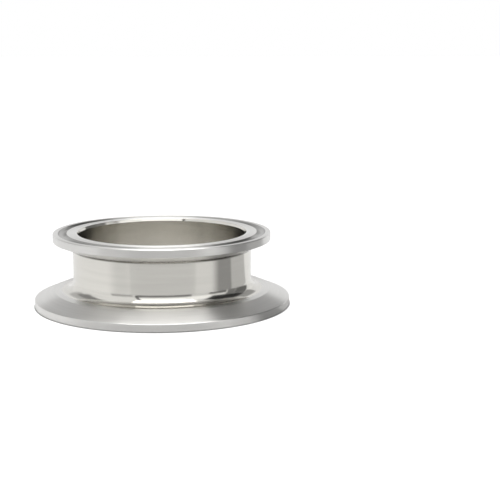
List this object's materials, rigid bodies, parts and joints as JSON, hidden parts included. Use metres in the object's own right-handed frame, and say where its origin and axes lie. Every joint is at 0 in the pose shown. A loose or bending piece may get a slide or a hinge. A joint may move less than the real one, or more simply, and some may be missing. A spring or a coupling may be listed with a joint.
{
  "type": "sanitary reducing end cap",
  "caption": "Turned stainless steel reducer: a short neck with a straight bore joins a wide clamp flange to a narrower one, with a gasket groove in each sealing face.",
  "frame": {"origin": "centre of the large sealing face, on the bore axis", "axes": "+Z along the bore axis, from the large flange up to the small flange"},
  "size_m": [0.0908, 0.0908, 0.026],
  "materials": {
    "steel": "fine turned finish, lightly brushed round the axis"
  },
  "bodies": {
    "root": {"reducing_end_cap": "steel"}
  },
  "joints": []
}
